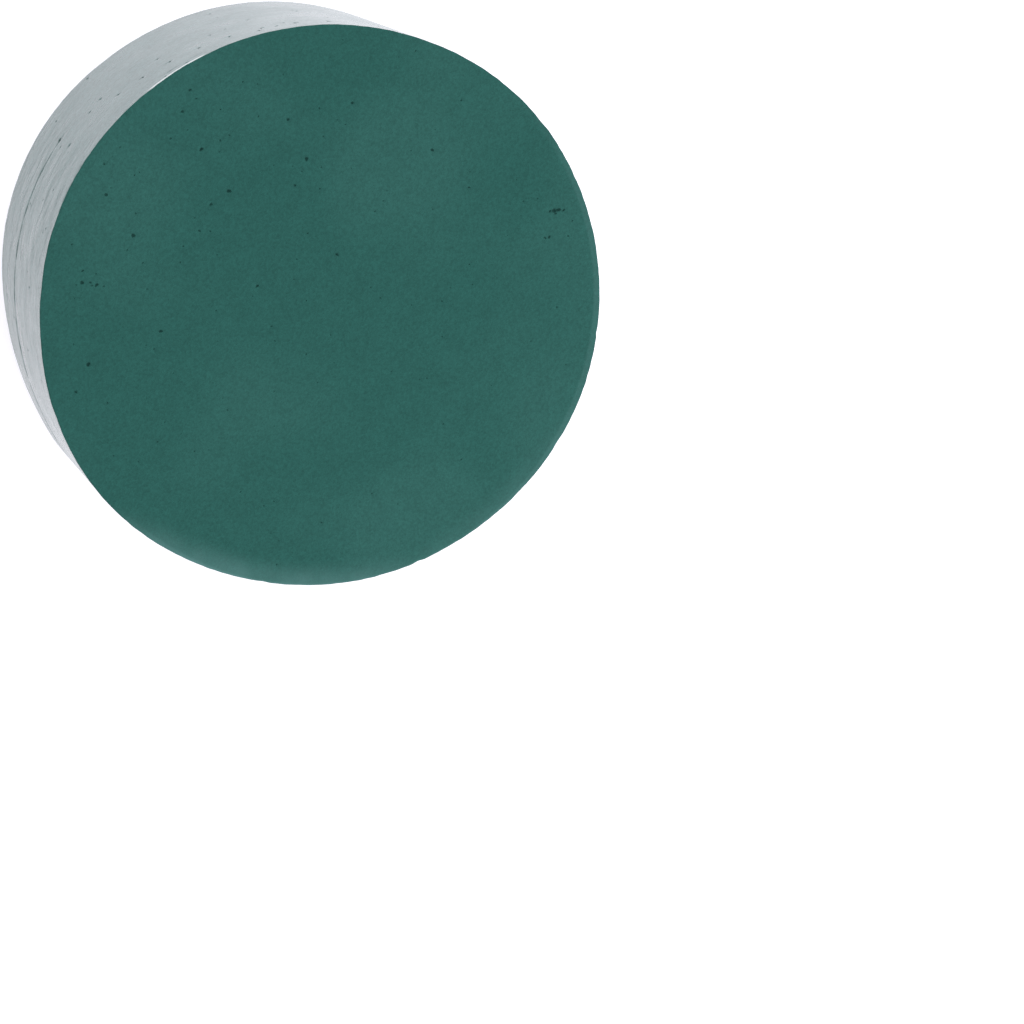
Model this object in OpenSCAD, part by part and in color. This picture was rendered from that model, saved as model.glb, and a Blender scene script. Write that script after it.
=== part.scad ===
// Round floral foam block.
//
// A short disc sawn from a slab of rigid, open-cell foam that soaks up water.
// Flower stems are pushed into it, so it has no holes, cover or base of its own.
// It lies flat on its base, centred on the Z axis. All lengths are millimetres.

/* [Block] */
// Diameter of the block
block_d = 178; // [80:1:300]
// Height of the block between its two flat faces
block_h = 76; // [40:1:120]
// Radius of the worn edge where each flat face meets the side wall
edge_r = 0.8; // [0.3:0.1:3]

/* [Score line] */
// Height of the score line above the base at its middle, as a share of the block's height
score_share = 0.34; // [0.25:0.01:0.7]
// Width of the score line
score_w = 0.8; // [0.4:0.1:2]
// Depth of the score line
score_depth = 0.6; // [0.3:0.1:2]
// Length of the score line, as an angle around the block
score_arc = 76; // [10:2:100]
// Direction of the middle of the score line, counted from +X
score_middle = -52; // [-180:2:180]
// Slope of the score line along the wall
score_slope = 7; // [0:1:10]

/* [Burst cells] */
// Opening of the largest burst cell on the top face
cell_d = 2.4; // [1:0.1:4]

/* [Hidden] */

$fn = 96;
block_r = block_d / 2;

// Burst cells on the top face: [distance from the axis as a share of the radius,
// direction from +X in degrees, opening as a share of the largest]
TOP_CELLS = [
    [0.89, 150, 1.0],
    [0.83, 144, 0.8],
    [0.87, 299, 0.7],
    [0.88, 295, 0.5],
    [0.81, 299, 0.6],
    [0.69, 230, 0.7],
    [0.73, 255, 0.6],
    [0.56, 256, 0.6],
    [0.83, 259, 0.5],
    [0.89, 278, 0.6],
    [0.74, 285, 0.6],
    [0.27, 285, 0.5],
    [0.59, 312, 0.6],
    [0.92, 323, 0.5],
];

// Half of the block's outline, turned about Z: a rectangle with two soft corners
module half_outline() {
    square([block_r - edge_r, block_h]);
    translate([0, edge_r])
        square([block_r, block_h - 2 * edge_r]);
    for (z = [edge_r, block_h - edge_r])
        translate([block_r - edge_r, z])
            circle(r = edge_r);
}

// Shallow line left in the wall by a slip of the blade. It runs downhill round
// the block, so its ring is tilted about the line from the axis to its middle.
module score_line() {
    translate([0, 0, score_share * block_h])
        rotate([0, 0, score_middle])
            rotate([-score_slope, 0, -score_arc / 2])
                rotate_extrude(angle = score_arc)
                    translate([block_r - score_depth, -score_w / 2])
                        square([2 * score_depth, score_w]);
}

// Cells that burst open on the top face
module top_cells() {
    for (c = TOP_CELLS)
        rotate([0, 0, c[1]])
            translate([c[0] * block_r, 0, block_h])
                sphere(d = c[2] * cell_d);
}

// The block: one solid piece of foam
module foam_block() {
    color([0.19, 0.38, 0.35])
        difference() {
            rotate_extrude() half_outline();
            score_line();
            top_cells();
        }
}

foam_block();
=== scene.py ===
# %% [markdown]
# # A round block of floral foam
#
# Floral foam is a stiff, feather-light foam of tiny open cells that drinks up water and holds cut
# stems. This block is a short disc sawn out of a thick slab: two flat faces, one straight wall, and
# nothing else. With so simple a form, all of the likeness is in the surface: burst cells, a crumbled
# rim, the ripples and the stray cut that the saw left in the wall, and the silvery shine that cut
# cell walls get when they are seen almost edge-on.
#
# The plan is to take the size from the frame, build one closed mesh whose triangles are small only
# where there is something to see, and give the faces, the wall and an open slit a finish each.

# %% The frame that everything is measured from
import math
import random
from collections import namedtuple

import bpy
import numpy as np
from mathutils import Matrix, Vector, geometry, noise


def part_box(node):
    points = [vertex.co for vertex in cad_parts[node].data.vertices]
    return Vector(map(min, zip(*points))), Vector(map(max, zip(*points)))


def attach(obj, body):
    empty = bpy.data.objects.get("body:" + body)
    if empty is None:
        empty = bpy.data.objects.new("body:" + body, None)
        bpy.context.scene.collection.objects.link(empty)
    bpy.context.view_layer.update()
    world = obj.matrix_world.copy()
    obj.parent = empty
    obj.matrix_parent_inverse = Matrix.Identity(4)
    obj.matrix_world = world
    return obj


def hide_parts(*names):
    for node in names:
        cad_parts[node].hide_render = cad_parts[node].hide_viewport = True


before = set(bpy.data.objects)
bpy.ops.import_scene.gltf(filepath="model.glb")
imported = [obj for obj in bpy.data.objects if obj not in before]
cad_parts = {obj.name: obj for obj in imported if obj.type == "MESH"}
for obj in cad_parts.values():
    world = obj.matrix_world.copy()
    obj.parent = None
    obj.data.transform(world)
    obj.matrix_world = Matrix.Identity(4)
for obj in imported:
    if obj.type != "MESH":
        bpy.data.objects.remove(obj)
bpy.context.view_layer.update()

block_low, block_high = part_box("foam_block")

MM = 0.001
HEIGHT = block_high[2] - block_low[2]
RADIUS = (block_high[1] - block_low[1]) / 2
FLOOR_Z = block_low[2]
random.seed(17)
print(f"block: {2 * RADIUS / MM:.0f} mm across, {HEIGHT / MM:.0f} mm high")

# %% [markdown]
# ## Camera
#
# The block lies flat and the camera looks steeply down on it through a long lens, so the top face is
# nearly round and only a crescent of wall shows. The camera is also rolled, which puts that crescent
# up and to the left. Blender has no roll setting, so the camera's own axes are worked out here: a
# level pair first, then the same pair turned about the line of sight.

# %% The camera
LENS = 94.9
CAMERA_AT = Vector((0.0, -0.2740, 0.8713))
CAMERA_AIM = Vector((0.0177, 0.1258, 0.0))
CAMERA_ROLL = math.radians(129.06)


def rolled_camera(name, place, aim, roll, lens):
    """A camera at place that looks at aim, turned by roll about its line of sight."""
    ahead = (aim - place).normalized()
    level_right = ahead.cross(Vector((0, 0, 1))).normalized()
    level_up = level_right.cross(ahead)
    right = math.cos(roll) * level_right + math.sin(roll) * level_up
    up = math.cos(roll) * level_up - math.sin(roll) * level_right
    axes = Matrix((right, up, -ahead)).transposed()
    data = bpy.data.cameras.new(name)
    data.lens = lens
    camera = bpy.data.objects.new(name, data)
    camera.matrix_world = Matrix.Translation(place) @ axes.to_4x4()
    bpy.context.collection.objects.link(camera)
    return camera


camera = rolled_camera("camera", CAMERA_AT, CAMERA_AIM, CAMERA_ROLL, LENS)
bpy.context.scene.camera = camera
print(f"camera: {(CAMERA_AT - CAMERA_AIM).length:.2f} m from its aim")

# %% [markdown]
# ## Floor and light
#
# Such a block is shot on a light table: a sheet of white acrylic lit from below, with white walls
# all round. The table takes away the shadow at the foot of the block, and the wall of the block
# mirrors it, which is where its silver comes from. So the floor here is pale and glows a little, the
# world is an even white, and two large soft lights give the top face its slow change of tone.

# %% Floor, world and soft lights
FLOOR_SIZE = 8.0
FLOOR_COLOUR = (0.50, 0.49, 0.52, 1)
GLOW_LEFT, GLOW_RIGHT = 0.96, 0.71
GLOW_REACH = 0.1
GLOW_TINT = (0.960, 0.94, 1.00, 1)
WORLD_WHITE = 0.78


def emission_floor():
    """The light table: a pale sheet that glows a little, more so toward -X."""
    half = FLOOR_SIZE / 2
    corners = [(x * half, y * half, FLOOR_Z) for x, y in ((-1, -1), (1, -1), (1, 1), (-1, 1))]
    mesh = bpy.data.meshes.new("light_table")
    mesh.from_pydata(corners, [], [(0, 1, 2, 3)])
    floor = bpy.data.objects.new("light_table", mesh)
    bpy.context.collection.objects.link(floor)
    paint = bpy.data.materials.new("white_acrylic")
    paint.use_nodes = True
    shader = paint.node_tree.nodes["Principled BSDF"]
    shader.inputs["Base Color"].default_value = FLOOR_COLOUR
    shader.inputs["Roughness"].default_value = 0.7
    shader.inputs["Emission Color"].default_value = GLOW_TINT
    nodes, links = paint.node_tree.nodes, paint.node_tree.links
    place = nodes.new("ShaderNodeTexCoord")
    split = nodes.new("ShaderNodeSeparateXYZ")
    glow = nodes.new("ShaderNodeMapRange")
    links.new(place.outputs["Object"], split.inputs[0])
    links.new(split.outputs[0], glow.inputs["Value"])
    for socket, number in zip(glow.inputs[1:5], (-GLOW_REACH, GLOW_REACH, GLOW_LEFT, GLOW_RIGHT)):
        socket.default_value = number
    links.new(glow.outputs[0], shader.inputs["Emission Strength"])
    mesh.materials.append(paint)
    return floor


def soft_light(name, place, size, power):
    """A square soft box at place, turned to the block."""
    data = bpy.data.lights.new(name, "AREA")
    data.size = size
    data.energy = power
    light = bpy.data.objects.new(name, data)
    light.location = place
    light.rotation_euler = (Vector((0, 0, HEIGHT)) - Vector(place)).to_track_quat("-Z", "Y").to_euler()
    bpy.context.collection.objects.link(light)
    return light


floor = emission_floor()
world = bpy.data.worlds.new("white_tent")
world.use_nodes = True
world.node_tree.nodes["Background"].inputs["Strength"].default_value = WORLD_WHITE
world.node_tree.nodes["Background"].inputs["Color"].default_value = (1, 1, 1, 1)
bpy.context.scene.world = world
soft_light("back_box", (0.35, 0.85, 0.75), 0.8, 8)
soft_light("left_box", (-0.90, -0.35, 0.45), 0.6, 3)
bpy.context.scene.view_settings.view_transform = "Standard"
print("light: glowing floor, white tent, two soft boxes")

# %% [markdown]
# ## The outline
#
# The blade that cuts a round wanders by a fraction of a millimetre, so the disc isn't quite a
# circle. A circle with six slow waves added gives that. The wave with two lobes is the strongest and
# makes the block slightly oval; the others make it uneven. The blade also sagged as it went down, so
# toward its foot the wall leans out in one direction and a little in beside it. Close to the two edges
# a little noise is added, so that the line of the rim looks cut and not turned.

# %% The radius of the block at any angle and height
MEAN_RADIUS = RADIUS + 0.19 * MM
LOBES = [(1, 0.21, 106), (2, 0.80, 135), (3, 0.13, 110), (4, 0.17, 86), (5, 0.10, 48), (6, 0.17, 44)]
RAGGED_SLOW, RAGGED_FINE = 0.08 * MM, 0.09 * MM
RAGGED_DOWN, RAGGED_AT_FOOT = 4 * MM, 0.35
LEANS = [(350, 11, 2.2), (318, 13, -0.5)]


def wander(angle, height, wavelength, layer=0.0):
    """Noise from -1 to 1 that runs round the block without a seam."""
    x, y = RADIUS * math.cos(angle), RADIUS * math.sin(angle)
    return noise.noise(Vector((x / wavelength, y / wavelength, height / wavelength + layer)))


def smooth_step(low, high, value):
    """0 below low, 1 above high, and an easy curve between."""
    t = np.clip((value - low) / (high - low), 0, 1)
    return t * t * (3 - 2 * t)


def lean(angle, height):
    """How far the wall leans out: direction and spread in degrees, and millimetres at the foot."""
    out = 0.0
    for toward, spread, size in LEANS:
        off = (math.degrees(angle) - toward + 180) % 360 - 180
        out += size * MM * math.exp(-((off / spread) ** 2))
    return out * (1 - height / HEIGHT)


def cut_radius(angle, height):
    """Radius of the block as sawn, before any marks in its wall."""
    out = MEAN_RADIUS + lean(angle, height)
    for lobes, size, peak in LOBES:
        out += size * MM * math.cos(lobes * (angle - math.radians(peak)))
    near_edge = 1 - float(smooth_step(0, RAGGED_DOWN, min(height, HEIGHT - height)))
    near_edge *= 1.0 if height > HEIGHT / 2 else RAGGED_AT_FOOT
    ragged = RAGGED_SLOW * wander(angle, height, 8 * MM)
    ragged += RAGGED_FINE * wander(angle, height, 2.4 * MM, 2.0)
    return out + near_edge * ragged


widths = [2 * cut_radius(math.radians(a), HEIGHT) / MM for a in range(0, 360, 10)]
print(f"outline: radius doubled runs from {min(widths):.1f} to {max(widths):.1f} mm")

# %% [markdown]
# ## Burst cells
#
# Here and there a bubble in the foam was bigger than its neighbours, and the saw opened it: a dark
# little crater a millimetre or two across. A crater could be faked with a bump map, but it would
# vanish at the edge of the block and in the exported mesh, so each one is real: rings of points laid
# round its lip, pushed in like a bowl. Its lip is an oval with two slow waves, so that no two match.
#
# The cells that the eye would miss are listed one by one. The rest are small and scattered by seed.

# %% A burst cell, its lip and its bowl
Cell = namedtuple("Cell", "at radius depth stretch turn wave")
BOWL_RINGS = (0.0, 0.45, 0.75, 0.93, 1.0, 1.18)
LARGE_CELL = 0.5 * MM


def burst_cell(at, across, deep=0.4, stretch=1.0):
    """A cell opened at a place on a sheet: across is its mean width, deep its depth over that width."""
    turn = random.uniform(0, math.pi)
    wave = random.uniform(0, 2 * math.pi)
    return Cell(at, across / 2, deep * across, stretch, turn, wave)


def lip(cell, direction):
    """Distance from the middle of a cell to its lip, in the cell's own turned frame."""
    wobble = 1 + 0.16 * np.sin(2 * direction + cell.wave) + 0.11 * np.sin(3 * direction - 2 * cell.wave)
    return cell.radius * wobble


def cell_points(cell):
    """Rings of points that the bowl and lip of a cell need."""
    steps = 12 if cell.radius > LARGE_CELL else 8
    cos_turn, sin_turn = math.cos(cell.turn), math.sin(cell.turn)
    points = [cell.at]
    for share in BOWL_RINGS[1:]:
        for k in range(steps):
            direction = 2 * math.pi * (k + share) / steps
            reach = share * float(lip(cell, direction))
            a = reach * math.cos(direction) * cell.stretch
            b = reach * math.sin(direction) / cell.stretch
            x = cell.at[0] + a * cos_turn - b * sin_turn
            y = cell.at[1] + a * sin_turn + b * cos_turn
            points.append((x, y))
    return points


def cell_depths(points, cells):
    """How far each point of a sheet is sunk by the cells: the deepest bowl over it wins."""
    depths = np.zeros(len(points))
    for cell in cells:
        off = points - np.array(cell.at)
        near = np.flatnonzero(np.abs(off).max(axis=1) < 1.6 * cell.radius * cell.stretch)
        if not len(near):
            continue
        a = (off[near, 0] * math.cos(cell.turn) + off[near, 1] * math.sin(cell.turn)) / cell.stretch
        b = (off[near, 1] * math.cos(cell.turn) - off[near, 0] * math.sin(cell.turn)) * cell.stretch
        reach = np.hypot(a, b) / lip(cell, np.arctan2(b, a))
        bowl = cell.depth * np.sqrt(np.clip(1 - reach ** 2, 0, 1))
        depths[near] = np.maximum(depths[near], bowl)
    return depths


print(f"a burst cell takes {len(cell_points(burst_cell((0, 0), 1.5 * MM)))} points")

# %% [markdown]
# ## A sheet with holes in it
#
# Both the faces and the unrolled wall are flat sheets with craters. Blender can turn a cloud of flat
# points into well-shaped triangles (a Delaunay triangulation), so a sheet is: its border, a loose
# grid of points that fills it, and the rings of every cell. Grid points that would crowd a cell are
# dropped first. The triangles come out small round the craters and large where nothing happens.

# %% From points to triangles
MERGE = 0.002 * MM
CELL_CLEARANCE = 1.45


def clear_of_cells(points, cells):
    """The grid points that aren't inside or hard against a cell."""
    keep = np.ones(len(points), bool)
    for cell in cells:
        gap = np.hypot(points[:, 0] - cell.at[0], points[:, 1] - cell.at[1])
        keep &= gap > CELL_CLEARANCE * cell.radius * max(cell.stretch, 1 / cell.stretch)
    return points[keep]


def sheet(border, grid, cells, extra=()):
    """Triangulates a sheet. Returns its points, its triangles and the index of each border point."""
    cloud = [tuple(p) for p in border]
    cloud += [tuple(p) for p in clear_of_cells(np.array(grid), cells)]
    cloud += [tuple(p) for p in extra]
    for cell in cells:
        cloud += cell_points(cell)
    loop = list(range(len(border)))
    found = geometry.delaunay_2d_cdt([Vector(p) for p in cloud], [], [loop], 1, MERGE)
    points = np.array([tuple(v) for v in found[0]])
    place = {given: new for new, sources in enumerate(found[3]) for given in sources}
    return points, [tuple(f) for f in found[2]], [place[i] for i in loop]


print("sheets: merge distance", MERGE / MM, "mm")

# %% [markdown]
# ## The rim
#
# Dry foam crumbles at a touch, so its edges are never sharp. The rim is a small quarter-round whose
# radius wanders, with a few chips where a flake came off. One function says how big the rounding is
# at each angle; the faces stop short of it, the wall stops below it, and five rows of quads bend
# from one to the other.

# %% How worn the rim is at each angle
RING = 840
RIM_STEPS = 5
RIM_ROUND = 0.45 * MM
CHIPS = [
    (168, 1.3, 1.1), (161, 0.8, 0.6), (249, 2.6, 0.5), (196, 0.9, 0.5), (262, 0.8, 0.4), (285, 0.7, 0.4),
    (58, 0.9, 0.7), (97, 1.1, 0.6), (121, 0.7, 0.6), (24, 1.2, 0.7), (338, 0.8, 0.5),
]


def rim_round(angle, layer):
    """Radius of the rounded rim. layer keeps the top and the bottom rim different."""
    slow, fine = wander(angle, 0, 6 * MM, layer), wander(angle, 0, 2.1 * MM, layer)
    size = RIM_ROUND * (1 + 0.5 * slow + 0.5 * fine)
    for degrees, width, deep in CHIPS:
        off = (math.degrees(angle) - degrees - 7 * layer + 180) % 360 - 180
        size += deep * MM * math.exp(-((off / width) ** 2))
    return size


ring_angles = [2 * math.pi * k / RING for k in range(RING)]
top_rounding = [rim_round(a, 0) / MM for a in ring_angles]
print(f"rim: rounding of the top runs from {min(top_rounding):.2f} to {max(top_rounding):.2f} mm")

# %% [markdown]
# ## Marks in the wall
#
# The round was cut on a turning table, and its wall kept the record: a stray cut that runs downhill
# for nearly a quarter of the way round and opens into a slit, ripples where the blade chattered, and
# a row of prick marks from the pins of the feed roller. The cuts and the ripples are sums of simple
# functions of angle and height, and the ripples are noise, squeezed a little in height. The prick
# marks are small cells, all stretched upright.

# %% The stray cut, the ripples and the prick marks
Cut = namedtuple("Cut", "start stop middle height slope width depth")
STRAY_CUT = Cut(272.5, 357, 308, 0.34 * HEIGHT, 7, 0.5 * MM, 0.36 * MM)
RIM_CUT = Cut(243, 256, 249, HEIGHT - 5 * MM, 0, 0.6 * MM, 0.14 * MM)
RIPPLE, SWELL = 0.12 * MM, 0.10 * MM
SLIT_FROM, SLIT_FULL = 300, 334
SLIT_HALF_WIDTH, SLIT_DEEP = 0.42 * MM, 0.12 * MM


def cut_line(cut, angle):
    """Height of a cut at an angle. It slopes most at its middle."""
    fall = RADIUS * math.tan(math.radians(cut.slope))
    return cut.height + fall * math.sin(math.radians(cut.middle) - angle)


def slit_opening(angle):
    """From 0 to 1: how far the stray cut has opened into a slit. It opens as it runs downhill."""
    return float(smooth_step(SLIT_FROM, SLIT_FULL, math.degrees(angle)))


def one_cut_depth(cut, angle, height):
    """Depth of one cut at a place on the wall: it starts sharply, breaks off and fades."""
    degrees = math.degrees(angle)
    if not cut.start < degrees < cut.stop:
        return 0.0
    fade = 0.08 * (cut.stop - cut.start)
    starts = smooth_step(cut.start, cut.start + 1, degrees)
    fades = 1 - smooth_step(cut.stop - fade, cut.stop, degrees)
    strength = float(starts * fades) * (0.65 + 0.9 * wander(angle, 0, 4 * MM, 9.0))
    opened = slit_opening(angle) if cut is STRAY_CUT else 0.0
    gap = (height - cut_line(cut, angle)) / (cut.width * (1 + 0.6 * opened))
    return cut.depth * (1 + 1.0 * opened) * max(0.0, strength) * math.exp(-gap * gap)


def cut_depth(angle, height):
    """Depth of whichever cut runs through a place on the wall."""
    return max(one_cut_depth(cut, angle, height) for cut in (STRAY_CUT, RIM_CUT))


def in_slit(angle, height):
    """True at the bottom of the stray cut, where it is torn open."""
    line = cut_line(STRAY_CUT, angle)
    deep = slit_opening(angle) * one_cut_depth(STRAY_CUT, angle, line)
    return abs(height - line) < SLIT_HALF_WIDTH and deep > SLIT_DEEP


def ripple_amount(angle, height):
    """Where the blade chattered: above the stray cut, and in weaker patches elsewhere."""
    degrees = math.degrees(angle) % 360
    front = smooth_step(262, 284, degrees) * (1 - smooth_step(322, 345, degrees))
    back = smooth_step(20, 45, degrees) * (1 - smooth_step(120, 165, degrees))
    stray = cut_line(STRAY_CUT, angle)
    high = smooth_step(stray, stray + 9 * MM, height)
    return 0.12 + 0.9 * front * (0.25 + 0.75 * high) + 0.6 * back


def wall_marks(angle, height):
    """How far the wall stands out or is cut in at a place, in metres."""
    squeezed = height * 1.4
    ripples = wander(angle, squeezed, 11 * MM) + 0.45 * wander(angle, squeezed, 5 * MM, 3.0)
    swell = SWELL * wander(angle, height, 38 * MM, 5.0)
    return RIPPLE * float(ripple_amount(angle, height)) * ripples + swell - cut_depth(angle, height)


PRICKS = 8
PRICK_RADIUS, PRICK_DEPTH, PRICK_STRETCH = 0.5 * MM, 0.45 * MM, 1.5
prick_marks = []
for k in range(PRICKS):
    degrees = 216.5 + 6.9 * k - 0.09 * k * k
    height = HEIGHT - (9.5 + 14 * (k / (PRICKS - 1)) ** 2) * MM
    prick_marks.append((math.radians(degrees), height))
print(f"wall: stray cut from {STRAY_CUT.start} to {STRAY_CUT.stop} degrees, {PRICKS} prick marks")

# %% [markdown]
# ## The two faces
#
# A face is the sheet inside the rim. On top, the cells that show are listed, in millimetres
# from the axis: a torn cluster near the far left rim, another near the right, and loose ones between.
# Two cells side by side overlap into one ragged hole, which is how the clusters are made. Small ones
# are then scattered, thicker toward the side where the slab was coarser. The underside is scattered
# only, for nothing is known of it.

# %% Cells of the top and of the underside
TOP_CELLS = [
    (-67.5, 39, 0.9), (-68.5, 40, 1.5), (-69.5, 41, 1.4), (-70.5, 42.5, 0.9), (-68, 41, 0.8),
    (-60, 43, 0.9), (-61, 44, 1.0), (-65, 49, 0.7), (37, -68, 1.2), (34, -70, 0.8),
    (35.5, -66, 0.8), (35, -64, 1.1), (34, -62, 0.6), (36, -65, 0.6), (-33.5, -35, 1.3),
    (-11.5, -48.5, 1.3), (16.5, -64, 1.3), (56, -51.5, 1.3), (-16.5, -63, 1.2), (11.5, -78, 1.1),
    (-59.5, -4.5, 1.1), (-55.5, -34, 1.0), (6.5, -23.5, 1.0), (35, -39.5, 1.1), (-16, -9, 1.0),
    (-39.5, -47, 1.0), (-5, -50.5, 1.0), (-25, -33, 0.9), (-22, -74.5, 1.0), (-28.5, -76.5, 0.9),
    (65, -49.5, 0.9), (3.5, -48.5, 0.8), (4.5, -84, 0.8), (-22, -60, 0.7), (-13.5, -72.5, 0.7),
    (-57.5, 12.5, 0.7), (-45, 60.5, 0.7), (-77, -6.5, 0.7),
]
SMALL_TOP, SMALL_UNDER, LARGE_UNDER = 110, 90, 22
CELL_INSET = 4 * MM
FACE_GRID = 2.1 * MM
FACE_GRID_INSET = 5.5 * MM


def apart(at, cells, gap):
    """True if a place keeps its distance from every cell so far."""
    return all(math.dist(at, cell.at) > gap + 1.3 * cell.radius for cell in cells)


def scatter_cells(cells, count, small, large, coarse_side):
    """Adds random cells to a face, more of them toward -Y if coarse_side is set."""
    wanted = len(cells) + count
    while len(cells) < wanted:
        reach = (RADIUS - CELL_INSET) * math.sqrt(random.random())
        turn = random.uniform(0, 2 * math.pi)
        at = (reach * math.cos(turn), reach * math.sin(turn))
        if coarse_side and random.random() > 0.55 - 0.45 * at[1] / RADIUS:
            continue
        if apart(at, cells, large):
            across, stretch = random.uniform(small, large), random.uniform(0.85, 1.25)
            cells.append(burst_cell(at, across, stretch=stretch))
    return cells


top_cells = [burst_cell((x * MM, y * MM), across * MM, stretch=1.12) for x, y, across in TOP_CELLS]
scatter_cells(top_cells, SMALL_TOP, 0.35 * MM, 0.62 * MM, True)
under_cells = scatter_cells([], LARGE_UNDER, 0.7 * MM, 1.4 * MM, False)
scatter_cells(under_cells, SMALL_UNDER, 0.35 * MM, 0.65 * MM, False)
print(f"cells: {len(top_cells)} on top, {len(under_cells)} underneath")

# %% The faces as sheets


def face_ring(level, layer):
    """Points of a face's outer ring, where the rounding of its rim begins."""
    ring = []
    for angle in ring_angles:
        size = rim_round(angle, layer)
        wall_at = level - size if level > HEIGHT / 2 else level + size
        reach = cut_radius(angle, wall_at) + wall_marks(angle, wall_at) - size
        ring.append((reach * math.cos(angle), reach * math.sin(angle)))
    return ring


def disc_grid(radius, step):
    """A staggered grid of points in a disc, each moved a little at random."""
    points = []
    rows = int(radius / (step * 0.866))
    for j in range(-rows, rows + 1):
        for i in range(-int(radius / step) - 1, int(radius / step) + 2):
            x = (i + 0.5 * (j % 2)) * step + random.uniform(-0.15, 0.15) * step
            y = j * step * 0.866 + random.uniform(-0.15, 0.15) * step
            if math.hypot(x, y) < radius:
                points.append((x, y))
    return points


def ring_of_points(reach, count):
    """Evenly spaced points on a circle."""
    return [(reach * math.cos(2 * math.pi * k / count), reach * math.sin(2 * math.pi * k / count))
            for k in range(count)]


def face_sheet(level, layer, cells):
    """One face: its points, triangles, border and how deep each point is sunk."""
    inner = RADIUS - FACE_GRID_INSET
    grid = disc_grid(inner, FACE_GRID)
    grid += ring_of_points(inner + 0.8 * MM, RING // 3)
    grid += ring_of_points(inner + 1.9 * MM, RING // 2)
    points, triangles, border = sheet(face_ring(level, layer), grid, cells)
    return points, triangles, border, cell_depths(points, cells)


top_face = face_sheet(HEIGHT, 0, top_cells)
under_face = face_sheet(0, 1, under_cells)
print(f"faces: {len(top_face[1])} and {len(under_face[1])} triangles")

# %% [markdown]
# ## The wall
#
# Unrolled, the wall is a long rectangle, so it is the same kind of sheet, with distance along the
# wall for one axis and height for the other. Its top and bottom borders have one point for each
# point of the rim, and its two ends have matching points, so that it closes on itself when it is
# rolled up. Extra rows of points follow the two cuts, because a loose grid would make them ragged.

# %% The unrolled wall
WALL_STEP, WALL_ROW = 1.7 * MM, 1.15 * MM
LENGTH = 2 * math.pi * RADIUS
END_ROWS = 50
WALL_CELLS = [
    (263, 40, 0.9), (266.5, 41.5, 1.0), (274, 47, 1.0), (261, 5, 1.0), (283, 57, 0.8), (274.5, 31, 1.4),
    (290, 66, 0.8), (291, 63, 0.6), (286, 49, 0.6), (303, 55, 0.8), (247, 73, 0.8), (252, 73.5, 0.7),
]
SMALL_WALL, SPARSE_FRONT = 170, 0.3
CUT_STRIP = 2.3 * MM
CUT_ROWS = (-1.9, -1.3, -0.85, -0.42, 0, 0.42, 0.85, 1.3, 1.9)


def on_wall(degrees, height):
    """Place on the unrolled wall of an angle and a height."""
    return (math.radians(degrees % 360) * RADIUS, height)


wall_cells = [burst_cell(on_wall(a, z * MM), across * MM, stretch=1.1) for a, z, across in WALL_CELLS]
for k, (angle, z) in enumerate(prick_marks):
    at = (angle * RADIUS, z)
    wall_cells.append(Cell(at, PRICK_RADIUS, PRICK_DEPTH, PRICK_STRETCH, math.pi / 2, k))
while len(wall_cells) < len(WALL_CELLS) + PRICKS + SMALL_WALL:
    at = (random.uniform(CELL_INSET, LENGTH - CELL_INSET), random.uniform(CELL_INSET, HEIGHT - CELL_INSET))
    if 200 < math.degrees(at[0] / RADIUS) < 345 and random.random() > SPARSE_FRONT:
        continue
    if apart(at, wall_cells, 0.8 * MM) and abs(at[1] - cut_line(STRAY_CUT, at[0] / RADIUS)) > 3 * MM:
        across, stretch = random.uniform(0.4, 0.9) * MM, random.uniform(0.9, 1.3)
        wall_cells.append(burst_cell(at, across, deep=0.35, stretch=stretch))


def wall_border():
    """Border of the unrolled wall, anticlockwise, starting at its lower left corner."""
    turns = ring_angles + [2 * math.pi]
    low = [(a * RADIUS, rim_round(a, 1)) for a in turns]
    high = [(a * RADIUS, HEIGHT - rim_round(a, 0)) for a in turns]
    end = [low[0][1] + (high[0][1] - low[0][1]) * (k + 1) / END_ROWS for k in range(END_ROWS - 1)]
    right = [(LENGTH, z) for z in end]
    left = [(0.0, z) for z in reversed(end)]
    return low + right + high[::-1] + left


def near_cut(cut, angle, height):
    """True if a place lies in the strip that cut_rows fills."""
    if not cut.start - 1 < math.degrees(angle) < cut.stop + 1:
        return False
    return abs(height - cut_line(cut, angle)) < CUT_STRIP


def wall_grid():
    """Points that fill the wall, clear of its border and of the two cuts."""
    points = []
    for j in range(1, int(HEIGHT / WALL_ROW)):
        for i in range(1, int(LENGTH / WALL_STEP)):
            s = (i + 0.5 * (j % 2) + random.uniform(-0.2, 0.2)) * WALL_STEP
            z = (j + random.uniform(-0.15, 0.15)) * WALL_ROW
            angle = s / RADIUS
            if not 0.8 * MM < s < LENGTH - 0.8 * MM:
                continue
            if not rim_round(angle, 1) + 0.6 * MM < z < HEIGHT - rim_round(angle, 0) - 0.6 * MM:
                continue
            if any(near_cut(cut, angle, z) for cut in (STRAY_CUT, RIM_CUT)):
                continue
            points.append((s, z))
    return points


def cut_rows(cut):
    """Rows of points along a cut, close together at its bottom."""
    points = []
    start, sweep = math.radians(cut.start), math.radians(cut.stop - cut.start)
    steps = int(sweep * RADIUS / (1.0 * MM))
    for row in CUT_ROWS:
        for k in range(steps + 1):
            angle = start + sweep * (k + 0.25 * (row % 1 > 0.5)) / steps
            points.append((angle * RADIUS, cut_line(cut, angle) + row * MM))
    return points


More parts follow.
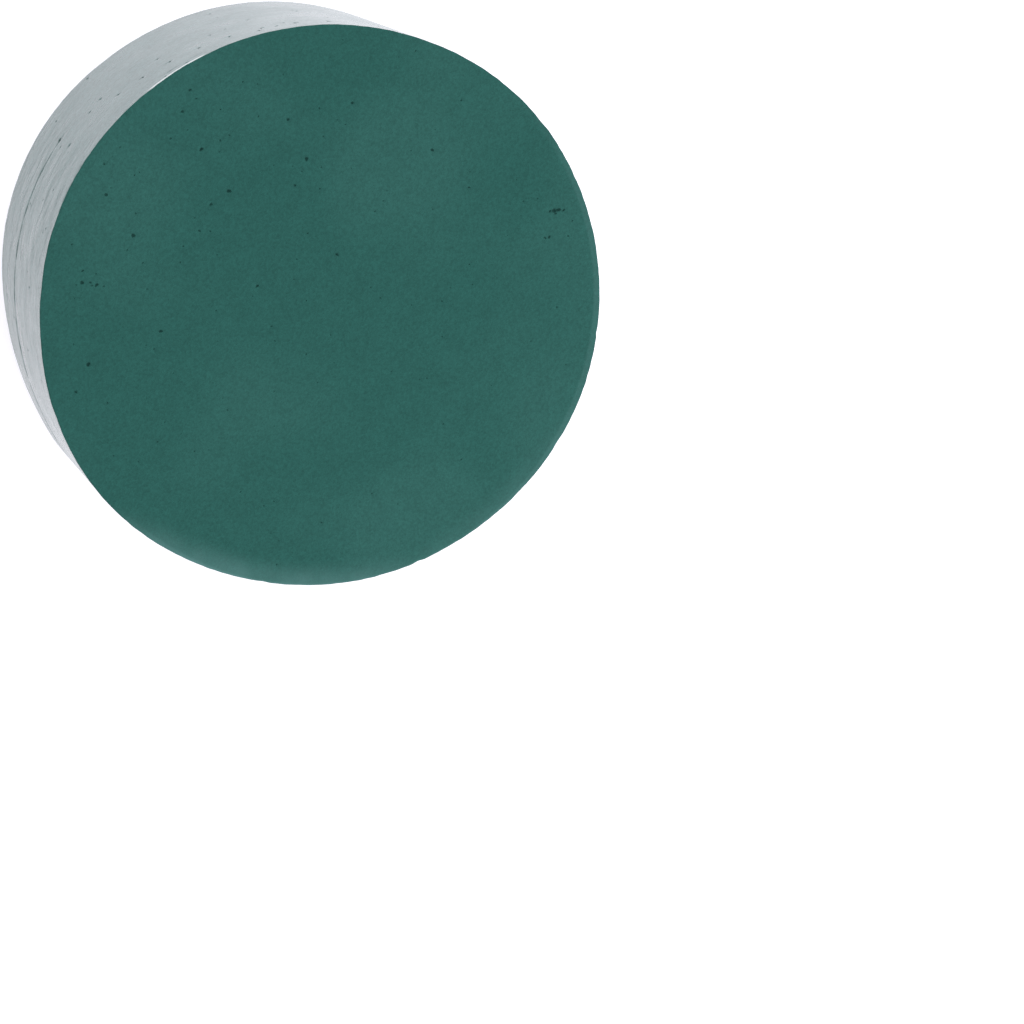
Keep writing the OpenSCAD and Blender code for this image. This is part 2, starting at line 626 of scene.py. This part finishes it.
rows = clear_of_cells(np.array(cut_rows(STRAY_CUT) + cut_rows(RIM_CUT)), wall_cells)
rows = [tuple(p) for p in rows]
wall_points, wall_triangles, wall_loop = sheet(wall_border(), wall_grid(), wall_cells, rows)
wall_sunk = cell_depths(wall_points, wall_cells)
print(f"wall: {len(wall_triangles)} triangles, {len(wall_cells)} cells and marks")

# %% [markdown]
# ## Rolling it up
#
# Now the three sheets become one closed skin. The faces go to their heights, the wall is rolled round
# the axis and its two ends share their points, and quads bend round each rim. Each point also gets a
# number, pit, that says how deep it lies in a cell or cut: the finishes use it to paint shade into the
# hollows, where real foam is darkened by the shade that falls there.

# %% One closed mesh
PIT_FULL = 0.8 * MM
points, faces, finish_of, pits = [], [], [], []
CUT_FACE, SAWN_WALL, OPEN_SLIT = 0, 1, 2


def add_point(place, sunk):
    """Adds a point of the skin and returns its number."""
    points.append(place)
    pits.append(min(1.0, sunk / PIT_FULL))
    return len(points) - 1


def add_faces(found, finish):
    """Adds polygons of one finish."""
    faces.extend(found)
    finish_of.extend([finish] * len(found))


def lay_face(piece, level, inward):
    """Lays a face at its height. inward is the direction in which its cells are sunk, and flips it."""
    flat, triangles, border, sunk = piece
    numbers = [add_point((x, y, level + inward * d), d) for (x, y), d in zip(flat, sunk)]
    turned = [tuple(numbers[i] for i in (t if inward < 0 else t[::-1])) for t in triangles]
    add_faces(turned, CUT_FACE)
    return [numbers[i] for i in border]


def roll_wall():
    """Rolls the wall round the axis. Returns its bottom and top rings of points."""
    numbers = {}
    left_end = {round(float(z), 7): i for i, (s, z) in enumerate(wall_points) if s < MERGE}
    for i, (s, z) in enumerate(wall_points):
        if s > LENGTH - MERGE:
            continue
        angle = s / RADIUS
        reach = cut_radius(angle, z) + wall_marks(angle, z) - wall_sunk[i]
        # Cuts count as pits too, so the finishes paint shade into them.
        sunk = wall_sunk[i] + 1.0 * cut_depth(angle, z)
        numbers[i] = add_point((reach * math.cos(angle), reach * math.sin(angle), z), sunk)
    for i, (s, z) in enumerate(wall_points):
        if s > LENGTH - MERGE:
            numbers[i] = numbers[min(left_end.values(), key=lambda k: abs(wall_points[k][1] - z))]
    for triangle in wall_triangles:
        s, z = wall_points[list(triangle)].mean(axis=0)
        # Triangles at the bottom of the slit get the slit finish, which is painted shade.
        finish = OPEN_SLIT if in_slit(s / RADIUS, z) else SAWN_WALL
        add_faces([tuple(numbers[i] for i in triangle)], finish)
    low = [numbers[i] for i in wall_loop[:RING]]
    start = RING + 1 + END_ROWS - 1
    high = [numbers[i] for i in wall_loop[start:start + RING + 1]][::-1][:RING]
    return low, high


def bend_rim(wall_ring, face_border, level, layer, upward):
    """Bends quads from the wall round the rim to a face."""
    rings = [wall_ring]
    for step in range(1, RIM_STEPS):
        bend = 0.5 * math.pi * step / RIM_STEPS
        ring = []
        for k, angle in enumerate(ring_angles):
            size = rim_round(angle, layer)
            x, y, z = points[wall_ring[k]]
            reach = math.hypot(x, y) - size * (1 - math.cos(bend))
            rise = size * math.sin(bend)
            ring.append(add_point((reach * math.cos(angle), reach * math.sin(angle), z + upward * rise), 0))
        rings.append(ring)
    rings.append(face_border)
    for step in range(RIM_STEPS):
        a, b = rings[step], rings[step + 1]
        quads = []
        for k in range(RING):
            n = (k + 1) % RING
            quads.append((a[k], a[n], b[n], b[k]) if upward > 0 else (a[n], a[k], b[k], b[n]))
        add_faces(quads, CUT_FACE if step >= 1 else SAWN_WALL)


top_border = lay_face(top_face, HEIGHT, -1)
under_border = lay_face(under_face, 0.0, 1)
wall_low, wall_high = roll_wall()
bend_rim(wall_high, top_border, HEIGHT, 0, 1)
bend_rim(wall_low, under_border, 0.0, 1, -1)

mesh = bpy.data.meshes.new("foam_round")
mesh.from_pydata(points, [], faces)
mesh.polygons.foreach_set("material_index", finish_of)
mesh.polygons.foreach_set("use_smooth", [True] * len(faces))
mesh.attributes.new("pit", "FLOAT", "POINT").data.foreach_set("value", pits)
mesh.validate()
mesh.update()
block = bpy.data.objects.new("foam_round", mesh)
bpy.context.collection.objects.link(block)

edge_uses = {}
for polygon in mesh.polygons:
    for key in polygon.edge_keys:
        edge_uses[key] = edge_uses.get(key, 0) + 1
open_edges = sum(1 for uses in edge_uses.values() if uses != 2)
print(f"skin: {sum(len(f) - 2 for f in faces)} triangles, {open_edges} edges that don't close")

# %% [markdown]
# ## Finishes
#
# All the finishes are built from the same few bricks: noise at a size in millimetres, a mix of two
# colours, and a bump. A small class keeps the node tree and hands out those bricks, so that a finish
# reads as a recipe. Noise is taken from the block's own coordinates, in metres, so one over a size is
# the scale that gives spots of that size.

# %% A helper that reads like a recipe
class Finish:
    """A material under construction: nodes are added by name and wired to the shader."""

    def __init__(self, name):
        self.material = bpy.data.materials.new(name)
        self.material.use_nodes = True
        self.tree = self.material.node_tree
        self.shader = self.tree.nodes["Principled BSDF"]
        self.place = self.tree.nodes.new("ShaderNodeTexCoord").outputs["Object"]

    def wire(self, value, socket):
        """Sets a socket to a number, a colour or another node's output."""
        if isinstance(value, bpy.types.NodeSocket):
            self.tree.links.new(value, socket)
        else:
            socket.default_value = value

    def maths(self, operation, a, b):
        """One sum, product or the like of two values."""
        node = self.tree.nodes.new("ShaderNodeMath")
        node.operation = operation
        self.wire(a, node.inputs[0])
        self.wire(b, node.inputs[1])
        return node.outputs[0]

    def squeezed(self, along, height):
        """The block's coordinates with spots stretched by along sideways and by height upward."""
        node = self.tree.nodes.new("ShaderNodeVectorMath")
        node.operation = "MULTIPLY"
        self.wire(self.place, node.inputs[0])
        node.inputs[1].default_value = (1 / along, 1 / along, 1 / height)
        return node.outputs[0]

    def noise(self, size, detail=2.0, rough=0.5, at=None):
        """Noise with spots of a size in metres."""
        node = self.tree.nodes.new("ShaderNodeTexNoise")
        self.wire(at or self.place, node.inputs["Vector"])
        node.inputs["Scale"].default_value = 1 / size
        node.inputs["Detail"].default_value = detail
        node.inputs["Roughness"].default_value = rough
        return node.outputs["Fac"]

    def bubbles(self, size):
        """Distance to the middle of the nearest bubble, and a number that is its own for each bubble."""
        node = self.tree.nodes.new("ShaderNodeTexVoronoi")
        self.wire(self.place, node.inputs["Vector"])
        node.inputs["Scale"].default_value = 1 / size
        split = self.tree.nodes.new("ShaderNodeSeparateColor")
        self.wire(node.outputs["Color"], split.inputs[0])
        return node.outputs["Distance"], split.outputs[0]

    def fit(self, value, low, high, to_low=0.0, to_high=1.0):
        """Moves a value from one range to another, smoothly and without passing its ends."""
        node = self.tree.nodes.new("ShaderNodeMapRange")
        node.interpolation_type = "SMOOTHSTEP"
        for socket, number in zip(node.inputs[:5], (value, low, high, to_low, to_high)):
            self.wire(number, socket)
        return node.outputs[0]

    def mix(self, a, b, amount, blend="MIX"):
        """Mixes colour b into colour a."""
        node = self.tree.nodes.new("ShaderNodeMix")
        node.data_type = "RGBA"
        node.blend_type = blend
        self.wire(amount, node.inputs[0])
        self.wire(a, node.inputs[6])
        self.wire(b, node.inputs[7])
        return node.outputs[2]

    def shade(self, colour, factor):
        """Multiplies a colour by a grey factor."""
        node = self.tree.nodes.new("ShaderNodeVectorMath")
        node.operation = "SCALE"
        self.wire(colour, node.inputs[0])
        self.wire(factor, node.inputs["Scale"])
        return node.outputs[0]

    def bump(self, height, depth, under=None):
        """A bump whose full height is depth, in metres."""
        node = self.tree.nodes.new("ShaderNodeBump")
        node.inputs["Distance"].default_value = depth
        self.wire(height, node.inputs["Height"])
        if under is not None:
            self.wire(under, node.inputs["Normal"])
        return node.outputs[0]

    def pit(self):
        """How deep this point lies in a cell or a cut, from 0 to 1."""
        node = self.tree.nodes.new("ShaderNodeAttribute")
        node.attribute_name = "pit"
        return node.outputs["Fac"]

    def from_axis(self):
        """Distance from the block's axis, in metres."""
        split = self.tree.nodes.new("ShaderNodeSeparateXYZ")
        self.wire(self.place, split.inputs[0])
        flat = self.tree.nodes.new("ShaderNodeCombineXYZ")
        self.wire(split.outputs[0], flat.inputs[0])
        self.wire(split.outputs[1], flat.inputs[1])
        length = self.tree.nodes.new("ShaderNodeVectorMath")
        length.operation = "LENGTH"
        self.wire(flat.outputs[0], length.inputs[0])
        return length.outputs["Value"]

    def height(self):
        """Height above the base, in metres."""
        split = self.tree.nodes.new("ShaderNodeSeparateXYZ")
        self.wire(self.place, split.inputs[0])
        return split.outputs[2]

    def toward(self, degrees):
        """How far this point lies from the axis in a direction, over the radius."""
        node = self.tree.nodes.new("ShaderNodeVectorMath")
        node.operation = "DOT_PRODUCT"
        self.wire(self.place, node.inputs[0])
        aim = math.radians(degrees)
        node.inputs[1].default_value = (math.cos(aim) / RADIUS, math.sin(aim) / RADIUS, 0)
        return node.outputs["Value"]

    def finish(self, colour, roughness, normal, **constants):
        """Wires the shader. Constants are set on its own sockets."""
        self.wire(colour, self.shader.inputs["Base Color"])
        self.wire(roughness, self.shader.inputs["Roughness"])
        self.wire(normal, self.shader.inputs["Normal"])
        self.wire(normal, self.shader.inputs["Coat Normal"])
        for socket, value in constants.items():
            self.shader.inputs[socket.replace("_", " ")].default_value = value
        return self.material


print("finish recipes ready")

# %% [markdown]
# ### The cut face
#
# A fresh cut through floral foam is a deep, slightly blue green, and quite matt: the light that falls
# into the open cells never comes straight out again, so the shader's mirror part is turned nearly
# off. The colour drifts slowly over a hand's breadth, and every bubble is a little lighter or darker
# than the next. Open bubbles and sunk cells are darkened with painted shade. Toward the rim a pale,
# broken haze is mixed in: partly dust on the bruised foam, partly painted highlight where the rounded
# rim catches the light.

# %% Finish of the cut face
FACE_GREEN = (0.0200, 0.0950, 0.0830, 1)
FACE_GREEN_PALE = (0.0255, 0.1060, 0.0935, 1)
# Painted shade for open bubbles and sunk cells.
FACE_HOLLOW_SHADE = (0.0060, 0.0330, 0.0290, 1)
# Pale haze near the rim: partly dust, partly painted highlight.
FACE_DUST_AND_HIGHLIGHT = (0.0950, 0.2150, 0.2100, 1)


def cut_face():
    f = Finish("cut_face")
    drift = f.fit(f.noise(55 * MM, 1.0), 0.35, 0.65)
    colour = f.mix(FACE_GREEN, FACE_GREEN_PALE, drift)
    grain = f.noise(0.9 * MM, 4.0, 0.7)
    patches = f.noise(7 * MM, 2.0)
    distance, own = f.bubbles(0.55 * MM)
    factor = f.maths("ADD", f.fit(grain, 0.25, 0.75, -0.12, 0.12), f.fit(patches, 0.3, 0.7, 0.96, 1.01))
    factor = f.maths("ADD", factor, f.fit(own, 0.0, 1.0, -0.065, 0.065))
    colour = f.shade(colour, factor)
    # Painted shade: the open middles of some bubbles are darkened.
    open_bubble = f.maths("MULTIPLY", f.fit(distance, 0.16, 0.30, 1.0, 0.0), f.fit(own, 0.80, 0.92))
    colour = f.mix(colour, FACE_HOLLOW_SHADE, f.maths("MULTIPLY", open_bubble, 0.45))
    # Pale haze near the rim: partly dust on one side, partly painted highlight where the rounded rim
    # catches the light.
    broad = f.fit(f.from_axis(), RADIUS - 10 * MM, RADIUS - 1.2 * MM)
    side = f.maths("MAXIMUM", f.fit(f.toward(25), 0.78, 0.985), f.fit(f.toward(78), 0.86, 1.0, 0.0, 0.35))
    broken = f.fit(f.noise(12 * MM, 2.0, 0.5), 0.25, 0.65, 0.55, 1.0)
    dust_and_highlight = f.maths("MULTIPLY", f.maths("MULTIPLY", broad, side), broken)
    thin = f.fit(f.from_axis(), RADIUS - 1.6 * MM, RADIUS - 0.6 * MM, 0.0, 0.30)
    edge = f.maths("MAXIMUM", side, f.fit(f.toward(85), -0.1, 0.5, 0.0, 0.6))
    dust_and_highlight = f.maths("ADD", f.maths("MULTIPLY", dust_and_highlight, 0.55), f.maths("MULTIPLY", thin, edge))
    colour = f.mix(colour, FACE_DUST_AND_HIGHLIGHT, dust_and_highlight)
    # Painted shade in the sunk cells, the deeper the darker.
    colour = f.mix(colour, FACE_HOLLOW_SHADE, f.fit(f.pit(), 0.0, 0.75, 0.0, 0.60))
    fine = f.bump(f.noise(0.5 * MM, 2.0), 0.05 * MM)
    normal = f.bump(distance, 0.06 * MM, fine)
    return f.finish(colour, 0.92, normal, Specular_IOR_Level=0.12, Sheen_Weight=0.12, Sheen_Roughness=0.4,
                    Sheen_Tint=(0.86, 1.0, 0.98, 1))


# %% [markdown]
# ### The sawn wall
#
# Round the side the blade smeared the cell walls into a skin of tiny flat flakes, and foam dust
# clings to it. Seen straight on it is a dusty grey-green, paler than the faces. Seen almost edge-on,
# as the camera sees it, the flakes mirror the white table and the wall turns silver, more so the
# more it turns away. A thin coat over a shader with a weak mirror part behaves just like that, so
# the silver needs no trick. Where the blade chattered, the wall is dented and streaked, and the dents
# are darkened with painted shade, as are the pinholes, cells and cuts. Under the top rim a pale line
# is mixed in, partly torn skin and wear, partly painted highlight of the lifted lip and the rim.

# %% Finish of the sawn wall
WALL_GREEN = (0.092, 0.154, 0.147, 1)
WALL_GREEN_PALE = (0.110, 0.174, 0.168, 1)
# Painted shade for pinholes, cells and cuts; the slit mixes it in too.
WALL_HOLLOW_SHADE = (0.016, 0.050, 0.045, 1)
# Painted shade for the dents where the blade chattered.
WALL_DENT_SHADE = (0.060, 0.105, 0.100, 1)
# Pale line under the top rim: partly torn skin and wear, partly painted highlight.
TORN_SKIN_AND_HIGHLIGHT = (0.55, 0.60, 0.60, 1)


def sawn_wall():
    f = Finish("sawn_wall")
    streaks = f.noise(11 * MM, 2.0, 0.5, at=f.squeezed(1.0, 0.5))
    fine_streaks = f.noise(2.6 * MM, 2.0, 0.6, at=f.squeezed(1.0, 0.5))
    patches = f.noise(18 * MM, 2.0)
    grain = f.noise(0.8 * MM, 3.0, 0.6)
    distance, own = f.bubbles(0.9 * MM)
    colour = f.mix(WALL_GREEN, WALL_GREEN_PALE, f.fit(streaks, 0.3, 0.7))
    chattered = f.fit(f.toward(308), 0.70, 0.93, 0.10, 1.0)
    front = f.fit(f.toward(300), 0.10, 0.75, 0.25, 1.0)
    mottling = f.maths("MULTIPLY", f.fit(fine_streaks, 0.3, 0.7, -0.07, 0.07), front)
    level = f.fit(chattered, 0.0, 1.0, 0.98, 1.04)
    factor = f.maths("ADD", f.maths("ADD", level, mottling), f.fit(grain, 0.25, 0.75, -0.15, 0.15))
    factor = f.maths("ADD", factor, f.fit(own, 0.0, 1.0, -0.10, 0.10))
    colour = f.shade(colour, factor)
    dents = f.fit(f.noise(7.5 * MM, 3.0, 0.55, at=f.squeezed(1.2, 0.7)), 0.42, 0.72)
    dents = f.maths("MULTIPLY", dents, chattered)
    # Painted shade in the dents where the blade chattered.
    colour = f.mix(colour, WALL_DENT_SHADE, f.maths("MULTIPLY", dents, 0.28))
    # Painted shade in small pinholes.
    pinhole = f.maths("MULTIPLY", f.fit(distance, 0.14, 0.34, 1.0, 0.0), f.fit(own, 0.62, 0.88))
    colour = f.mix(colour, WALL_HOLLOW_SHADE, f.maths("MULTIPLY", pinhole, 0.60))
    # Pale line under the top rim: partly torn skin and wear, partly painted highlight where the lifted lip
    # and the rim catch the light.
    torn_height = f.fit(f.height(), HEIGHT - 2.2 * MM, HEIGHT - 1.4 * MM)
    torn_and_highlight = f.maths("MULTIPLY", f.fit(f.toward(249), 0.9870, 0.9905), torn_height)
    worn_height = f.fit(f.height(), HEIGHT - 1.3 * MM, HEIGHT - 0.4 * MM, 0.0, 0.32)
    worn_and_highlight = f.maths("MULTIPLY", f.fit(f.noise(10 * MM, 1.0), 0.35, 0.6), worn_height)
    colour = f.mix(colour, TORN_SKIN_AND_HIGHLIGHT, f.maths("MAXIMUM", torn_and_highlight, worn_and_highlight))
    # Painted shade in the cells and cuts, the deeper the darker.
    colour = f.mix(colour, WALL_HOLLOW_SHADE, f.fit(f.pit(), 0.0, 0.8, 0.0, 0.52))
    rough = f.maths("ADD", f.fit(patches, 0.3, 0.7, 0.28, 0.34), f.fit(streaks, 0.3, 0.7, -0.03, 0.03))
    fine = f.bump(distance, 0.012 * MM, f.bump(grain, 0.025 * MM))
    normal = f.bump(dents, -0.13 * MM, f.bump(fine_streaks, 0.02 * MM, fine))
    return f.finish(colour, rough, normal, IOR=1.16, Coat_Weight=0.80, Coat_Roughness=0.20, Coat_IOR=1.16)


# %% [markdown]
# ### The open slit
#
# Where the stray cut runs downhill it is torn open, and light is lost between its lips. The few
# triangles at its bottom get a finish of their own that paints that shade: dark, matt, and without
# the wall's silver coat.

# %% Finish of the open slit
# Painted shade for the bottom of the slit.
SLIT_SHADE = (0.010, 0.032, 0.030, 1)


def open_slit():
    f = Finish("open_slit")
    grain = f.noise(0.8 * MM, 2.0)
    # Painted shade: the bottom of the slit is dark where light is lost between its lips.
    colour = f.mix(SLIT_SHADE, WALL_HOLLOW_SHADE, f.fit(grain, 0.25, 0.75))
    return f.finish(colour, 1.0, f.bump(grain, 0.1 * MM), Specular_IOR_Level=0.1)


for make_finish in (cut_face, sawn_wall, open_slit):
    mesh.materials.append(make_finish())
print("finishes:", [m.name for m in mesh.materials])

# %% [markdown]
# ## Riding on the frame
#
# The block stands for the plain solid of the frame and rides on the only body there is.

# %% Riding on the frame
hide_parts("foam_block")
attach(block, "root")
